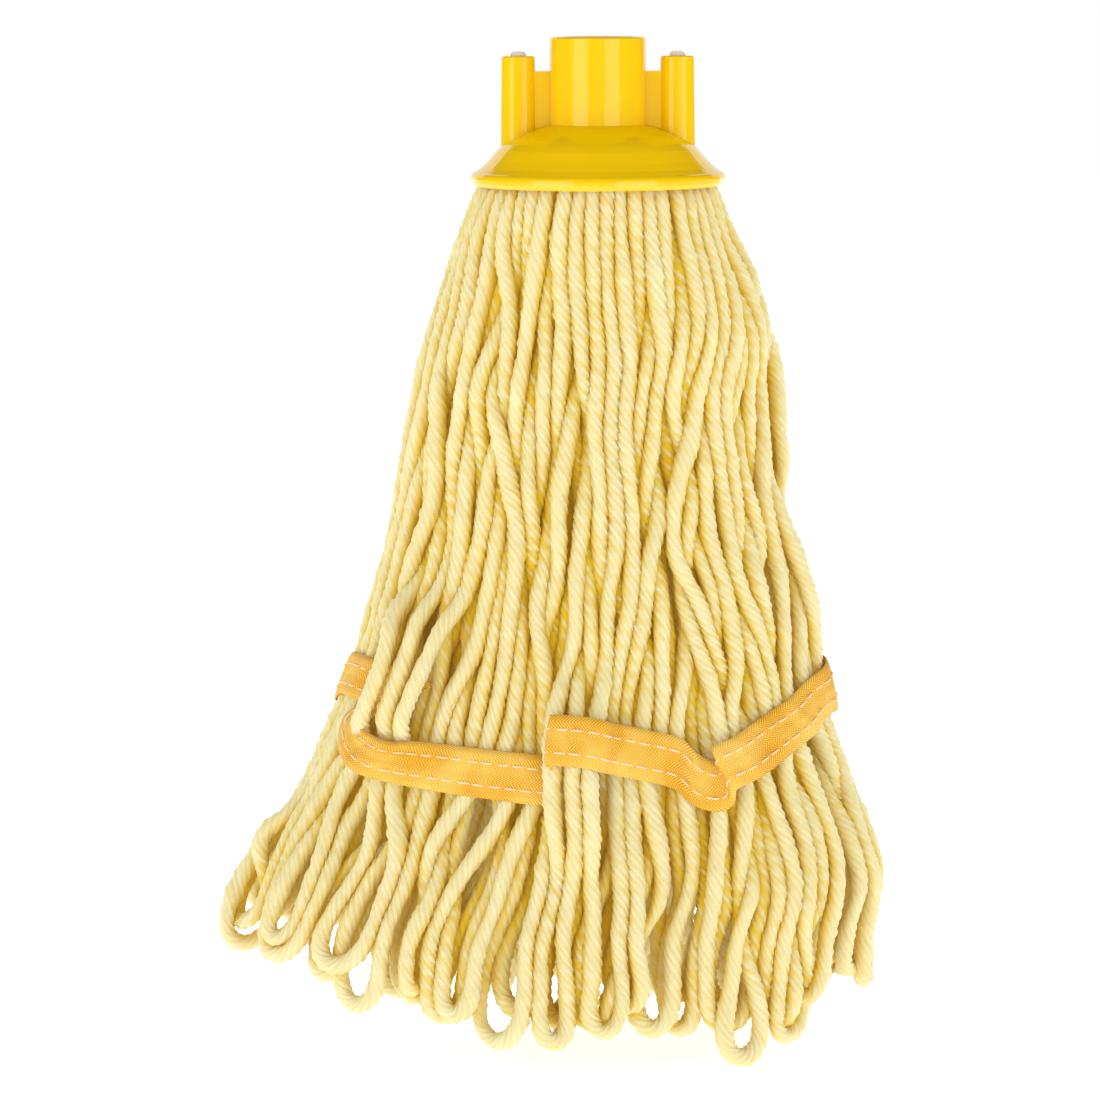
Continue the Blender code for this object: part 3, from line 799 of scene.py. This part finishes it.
def on_skirt(phi, z, lift, reach):
    """A point this far off the strands, the way round and the way up there, and outwards."""
    half_w, half_d, centre = outline_at(z)
    share = np.interp(np.mod(phi + math.pi, 2 * math.pi) * 180 / math.pi, np.arange(360) + 0.5,
                      reach, period=360)
    place = np.stack([centre + half_w * share * np.cos(phi), half_d * share * np.sin(phi), z], 1)
    round_it = np.stack([-half_w * np.sin(phi), half_d * np.cos(phi), 0 * phi], 1)
    round_it /= np.linalg.norm(round_it, axis=1, keepdims=True)
    out = np.stack([round_it[:, 1], -round_it[:, 0], 0 * phi], 1)
    higher_w, higher_d, higher_c = outline_at(z + 0.004)
    above = np.stack([higher_c + higher_w * share * np.cos(phi), higher_d * share * np.sin(phi),
                      z + 0.004], 1)
    up = (above - place) / np.linalg.norm(above - place, axis=1, keepdims=True)
    return place + out * lift[:, None], round_it, up


def tape_route(reach):
    """The outer ply's middle line and the way its width points, all round the skirt."""
    x, z, lift, way = TAPE_FRONT.T
    half_w, _, centre = outline_at(z)
    phi = 2 * math.pi - np.arccos(np.clip((x - centre) / half_w, -1, 1))
    for _ in range(4):
        share = np.interp(np.degrees(phi + math.pi) % 360, np.arange(360) + 0.5, reach, period=360)
        phi = 2 * math.pi - np.arccos(np.clip((x - centre) / (half_w * share), -0.999, 0.999))
    behind = []
    for start, stop, count in ((PLY_START, 176, 10), (366, PLY_STOP, 13)):
        at = np.radians(np.linspace(start, stop, count))
        height = tape_z(at) + 0.0022 * np.sin(3.1 * at + 0.6) * np.sin(at) ** 2
        slope = np.gradient(height, at) / np.hypot(0.085 * np.sin(at), 0.045 * np.cos(at))
        stand = np.where(np.degrees(at) > 430, 0.0014, 0.0003)
        behind.append(np.stack([at, height, stand, 90 + np.degrees(np.arctan(slope))], 1))
    control = np.concatenate([behind[0], np.stack([phi, z, lift, way], 1), behind[1]])
    flat = curved(control, 24)
    place, round_it, up = on_skirt(flat[:, 0], flat[:, 1], flat[:, 2] + TAPE_THICK * 0.7, reach)
    turn = np.radians(flat[:, 3])[:, None]
    across = np.cos(turn) * round_it + np.sin(turn) * up
    # Where the tape cups the bulging group, its inner edge stands up.
    lean = 0.38 * bump(place[:, 2], -0.2250, 0.0100) * smooth((-0.0665 - place[:, 0]) / 0.006)
    out = np.stack([round_it[:, 1], -round_it[:, 0], 0 * lean], 1)
    across = np.cos(lean)[:, None] * across + np.sin(lean)[:, None] * out
    line = resampled(np.concatenate([place, across], 1), TAPE_STEP)
    line[:, :3] = eased(line[:, :3], 6)
    return line[:, :3], line[:, 3:] / np.linalg.norm(line[:, 3:], axis=1, keepdims=True)


def strip_normals(middle, width_way):
    """The outward normal at each station of a strip."""
    heading = np.gradient(middle, axis=0)
    normal = np.cross(heading, width_way)
    return normal / np.linalg.norm(normal, axis=1, keepdims=True)


def strip_mesh(name, middle, width_way, material):
    """A woven tape: both faces and its four edges, a little curled along its selvedges."""
    normal = strip_normals(middle, width_way)
    n, m = len(middle), TAPE_COLUMNS
    across = np.linspace(-0.5, 0.5, m)
    gone = np.arange(n) * TAPE_STEP
    curl = 0.00035 * (2 * across) ** 4
    ripple = 0.00030 * np.sin(2 * math.pi * gone / 0.0135) + 0.00022 * np.sin(gone * 911.0)
    lift = -curl[None, :] + ripple[:, None] * (1 - np.abs(across))[None, :]
    thick = TAPE_THICK / 2 * np.where(np.abs(across) > 0.49, 0.55, 1.0)
    flat = middle[:, None] + width_way[:, None] * (across * TAPE_WIDTH)[None, :, None]
    top = flat + normal[:, None] * (lift + thick)[..., None]
    under = flat + normal[:, None] * (lift - thick)[..., None]
    verts = np.concatenate([top.reshape(-1, 3), under.reshape(-1, 3)])
    row, col = np.arange(n - 1)[:, None] * m, np.arange(m - 1)[None, :]
    face = np.stack([row + col, row + m + col, row + m + col + 1, row + col + 1], 2).reshape(-1, 4)
    far = n * m
    one_edge, first_end = np.arange(n - 1) * m, np.arange(m - 1)
    other_edge, last_end = one_edge + m - 1, first_end + (n - 1) * m
    faces = np.concatenate([
        face, face[:, ::-1] + far,
        np.stack([one_edge, one_edge + far, one_edge + m + far, one_edge + m], 1),
        np.stack([other_edge, other_edge + m, other_edge + m + far, other_edge + far], 1),
        np.stack([first_end, first_end + 1, first_end + 1 + far, first_end + far], 1),
        np.stack([last_end, last_end + far, last_end + 1 + far, last_end + 1], 1),
    ])
    obj = mesh_object(name, verts, faces, material)
    coords = np.zeros((2, n, m, 3), np.float32)
    coords[..., 0] = gone[None, :, None]
    coords[..., 1] = across * TAPE_WIDTH
    coords[1, ..., 2] = TAPE_THICK
    attribute = obj.data.attributes.new("tape_coord", "FLOAT_VECTOR", "POINT")
    attribute.data.foreach_set("vector", coords.ravel())
    return obj


def stitch_tubes(middle, width_way, row, sign):
    """The thread on one face of a strip: short stitches that dive into the tape at both ends."""
    normal = strip_normals(middle, width_way) * sign
    long, apart = round(STITCH_LONG / TAPE_STEP), STITCH_APART / TAPE_STEP
    verts, faces = [], []
    sides = 6
    around = np.arange(sides) * 2 * math.pi / sides
    t = np.linspace(0, 1, long + 1)
    at_end = np.abs(2 * t - 1) > 0.99
    height = TAPE_THICK / 2 + 0.00012 + 0.00022 * np.sin(math.pi * t) - 0.0004 * at_end
    round_off = STITCH_R * np.where(at_end, 0.5, 1.0)
    for k in range(int((len(middle) - long - 1) / apart)):
        picked = np.arange(long + 1) + int(k * apart)
        line = (middle[picked] + width_way[picked] * row * TAPE_WIDTH
                + normal[picked] * height[:, None])
        ring = (line[:, None] + (width_way[picked][:, None] * np.cos(around)[None, :, None] * 1.15
                                 + normal[picked][:, None] * np.sin(around)[None, :, None])
                * round_off[:, None, None])
        base = len(verts) * (long + 1) * sides
        verts.append(ring.reshape(-1, 3))
        for at in range(base, base + long * sides, sides):
            for j in range(sides):
                beside = (j + 1) % sides
                faces.append([at + j, at + beside, at + sides + beside, at + sides + j])
        for at in (base, base + long * sides):
            faces.append([at, at + 1, at + 2, at + 3])
            faces.append([at, at + 3, at + 4, at + 5])
    return np.concatenate(verts), np.array(faces)


def make_tape():
    """Both plies, the rows of stitches on the faces turned away from the strands between them,
    and the plies' lengths."""
    reach = envelope(share_most=1.045)
    middle, width_way = tape_route(reach)
    outer = strip_mesh("tape_outer", middle, width_way, TAPE)
    phi = np.linspace(math.radians(PLY_START), math.radians(PLY_STOP), 700)
    height = tape_z(phi)
    slope = np.gradient(height, phi) / np.hypot(0.063 * np.sin(phi), 0.033 * np.cos(phi))
    turn = (math.pi / 2 + np.arctan(slope))[:, None]
    place, round_it, up = on_skirt(phi, height, np.where(phi > math.radians(440), 0.0013, 0.0),
                                   np.full(360, INNER_PLY_SHARE))
    line = resampled(np.concatenate([place, np.cos(turn) * round_it + np.sin(turn) * up], 1),
                     TAPE_STEP)
    inner = strip_mesh("tape_inner", line[:, :3], line[:, 3:], TAPE)
    stitches = []
    for name, row in STITCH_ROWS:
        verts, faces = stitch_tubes(middle, width_way, row, 1.0)
        more, more_faces = stitch_tubes(line[:, :3], line[:, 3:], row, -1.0)
        faces = np.concatenate([faces, more_faces + len(verts)])
        stitches.append(mesh_object(name.replace("stitching", "stitches"),
                                    np.concatenate([verts, more]), faces, THREAD))
    lengths = [len(part) * TAPE_STEP for part in (middle, line)]
    return outer, inner, stitches, lengths


def tape_material():
    """Woven tape: a zigzag of slanting ribs, darker in their grooves as painted shade, with paler
    worn patches.
    """
    material, tree, shader = new_material(
        "tape_webbing", Roughness=0.72, Specular_IOR_Level=0.3, Sheen_Weight=0.15,
        Sheen_Roughness=0.4)
    coord = add(tree, "ShaderNodeAttribute", attribute_name="tape_coord").outputs["Vector"]
    parts = add(tree, "ShaderNodeSeparateXYZ", {"Vector": coord}).outputs
    zigzag = computed(tree, "PINGPONG", parts["Y"], ZIGZAG_WIDE)
    slanted = computed(tree, "ADD", parts["X"], zigzag)
    ribs = computed(tree, "SINE", computed(tree, "MULTIPLY", slanted, 2 * math.pi / RIB_APART))
    rise = ranged(tree, ribs, -1.0, 1.0)
    worn = ranged(tree, noise(tree, coord, 55.0), 0.35, 0.65)
    # The ribs' colour follows their height: the weave's own pattern, and painted shade that darkens
    # the grooves.
    base = mixed(tree, rise, (0.660, 0.240, 0.004, 1), (0.900, 0.530, 0.040, 1))
    pale = mixed(tree, rise, (0.860, 0.420, 0.020, 1), (0.975, 0.720, 0.190, 1))
    tree.links.new(mixed(tree, worn, base, pale), shader.inputs["Base Color"])
    height = computed(tree, "ADD", rise, noise(tree, coord, 700.0, 3.0))
    tree.links.new(relief(tree, height, 0.8, 0.00022), shader.inputs["Normal"])
    return material


def thread_material():
    """Off-white sewing thread."""
    material, tree, shader = new_material(
        "stitch_thread", Roughness=0.6, Specular_IOR_Level=0.3, Sheen_Weight=0.1)
    place = add(tree, "ShaderNodeTexCoord").outputs["Object"]
    ply = noise(tree, place, 1500.0)
    base = mixed(tree, ply, (0.86, 0.66, 0.44, 1), (0.95, 0.84, 0.66, 1))
    tree.links.new(base, shader.inputs["Base Color"])
    tree.links.new(relief(tree, ply, 0.3, 0.0001), shader.inputs["Normal"])
    return material


TAPE, THREAD = tape_material(), thread_material()
OUTER_TAPE, INNER_TAPE, STITCHES, TAPE_LENGTHS = make_tape()
for tape, node, length, pieces in (
        (OUTER_TAPE, "stay_tape_outer", TAPE_LENGTHS[0], STITCHES),
        (INNER_TAPE, "stay_tape_inner", TAPE_LENGTHS[1], [])):
    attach(tape, "skirt")
    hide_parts(node)
for stitches, (node, _) in zip(STITCHES, STITCH_ROWS):
    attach(stitches, "skirt")
    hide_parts(node)

# ---------------------------------------------------------------- hard parts

NODES["socket_shell"].data.materials.clear()
NODES["socket_shell"].data.materials.append(PLASTIC)
NODES["yarn_retainer"].data.materials.clear()
NODES["yarn_retainer"].data.materials.append(PIN)

# ---------------------------------------------------------------- stage


def add_light(name, place, target, size, power, tall=None):
    """A soft area light that faces its target."""
    data = bpy.data.lights.new(name, "AREA")
    data.shape = "RECTANGLE"
    data.size, data.size_y = size, tall or size
    data.energy = power
    light = bpy.data.objects.new(name, data)
    bpy.context.scene.collection.objects.link(light)
    light.location = place
    light.rotation_euler = (Vector(target) - Vector(place)).to_track_quat("-Z", "Y").to_euler()
    return light


def add_stage():
    """A white floor under the hem, a white world, and the studio's lights."""
    verts = np.array([(-6, -6, 0), (6, -6, 0), (6, 6, 0), (-6, 6, 0)], float)
    verts[:, 2] = min(p[:, 2].min() for p in PATHS) - YARN_D * 0.6
    material, _, shader = new_material("floor", Roughness=0.9)
    shader.inputs["Base Color"].default_value = (0.93, 0.93, 0.93, 1)
    shader.inputs["Emission Color"].default_value = (1, 1, 1, 1)
    shader.inputs["Emission Strength"].default_value = 0.72
    floor = mesh_object("floor", verts, [(0, 1, 2, 3)], material)
    world = bpy.data.worlds.new("studio")
    world.use_nodes = True
    tree = world.node_tree
    rays = add(tree, "ShaderNodeLightPath").outputs
    lit = add(tree, "ShaderNodeMapRange", {"Value": rays["Is Glossy Ray"], "To Min": 0.60,
                                           "To Max": 0.02})
    strength = add(tree, "ShaderNodeMapRange", {"Value": rays["Is Camera Ray"],
                                                "To Min": lit.outputs[0], "To Max": 1.0})
    backdrop = tree.nodes["Background"]
    backdrop.inputs[0].default_value = (1, 1, 1, 1)
    tree.links.new(strength.outputs[0], backdrop.inputs[1])
    bpy.context.scene.world = world
    middle = (0, 0, -0.15)
    left = add_light("left_fill", (-1.30, 0.10, 0.05), middle, 0.35, 2.4, 0.9)
    right = add_light("right_fill", (1.30, 0.10, 0.05), middle, 0.35, 2.4, 0.9)
    front = add_light("front_fill", (0.0, -1.75, -0.12), middle, 0.55, 2.9)
    left.visible_glossy = right.visible_glossy = front.visible_glossy = False
    back = add_light("back_wall", (0.0, 1.60, 0.10), middle, 2.6, 11.0, 1.4)
    back.visible_camera = False
    add_light("left_softbox", (-1.04, -1.08, 0.02), middle, 1.00, 4.9, 1.10)
    add_light("right_softbox", (0.86, -1.22, 0.02), middle, 0.95, 4.1, 1.10)
    bpy.context.scene.view_settings.view_transform = "Standard"


add_stage()
